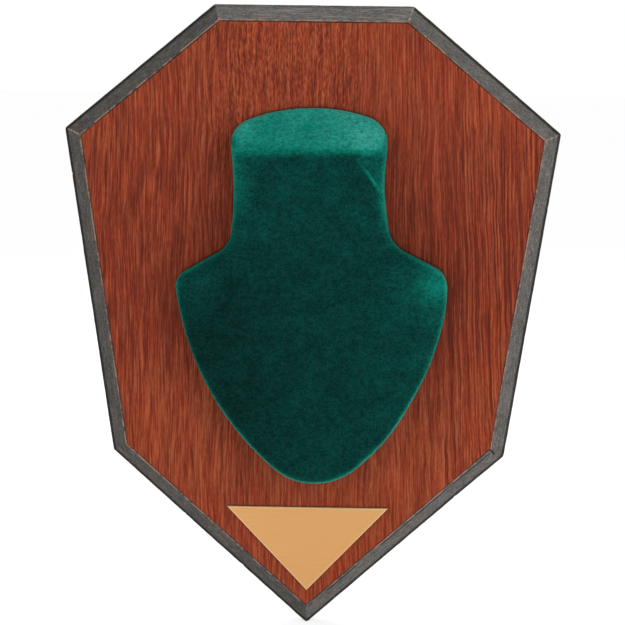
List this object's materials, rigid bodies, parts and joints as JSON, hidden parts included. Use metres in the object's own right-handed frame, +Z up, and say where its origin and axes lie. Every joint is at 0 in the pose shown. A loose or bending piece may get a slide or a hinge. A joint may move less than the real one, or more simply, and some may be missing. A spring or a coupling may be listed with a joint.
{
  "type": "antler display plaque",
  "caption": "Shield-shaped wooden wall plaque with a bevelled edge, a velvet-covered rest for an antler skull plate, a brass engraving plate and a swinging ring hanger.",
  "frame": {"origin": "on the wall plane, right behind the place where a wall hook carries the hanger ring; the bumpers' faces lie in this plane", "axes": "+X to the right seen from the front, +Y into the wall, so the front faces -Y, +Z up"},
  "size_m": [0.241, 0.0467, 0.3042],
  "materials": {
    "painted_bevel": "charcoal paint over milled board, rough and worn at the arrises",
    "mahogany_veneer": "reddish mahogany, vertical grain, satin lacquer",
    "back_veneer": "plain balancing veneer, unfinished",
    "block_wood": "sawn softwood",
    "foam": "soft open-cell foam",
    "green_velvet": "dark green cotton velvet, short pile",
    "staple_wire": "galvanised wire",
    "zinc_screw": "zinc plated",
    "brass_plate": "fine brushed, lacquered, bright chamfer",
    "adhesive_sheet": "double-sided adhesive sheet",
    "hanger_steel": "nickel-plated strip",
    "ring_wire": "nickel-plated wire",
    "bumper_rubber": "soft matt rubber"
  },
  "bodies": {
    "plaque": {"core_board": "painted_bevel", "face_veneer": "mahogany_veneer", "back_veneer": "back_veneer", "form_block": "block_wood", "form_padding": "foam", "velvet_cover": "green_velvet", "velvet_staples": "staple_wire", "form_screws": "zinc_screw", "engraving_plate": "brass_plate", "plate_adhesive": "adhesive_sheet", "hanger_strap": "hanger_steel", "hanger_screws": "zinc_screw", "wall_bumpers": "bumper_rubber"},
    "hanger_ring": {"hanger_ring": "ring_wire"}
  },
  "joints": [
    {"name": "ring_swing", "type": "hinge", "parent": "plaque", "child": "hanger_ring", "pos_m": [0, -0.00372, -0.0166], "axis": [-1, 0, 0], "range_deg": [-3, 178]}
  ]
}
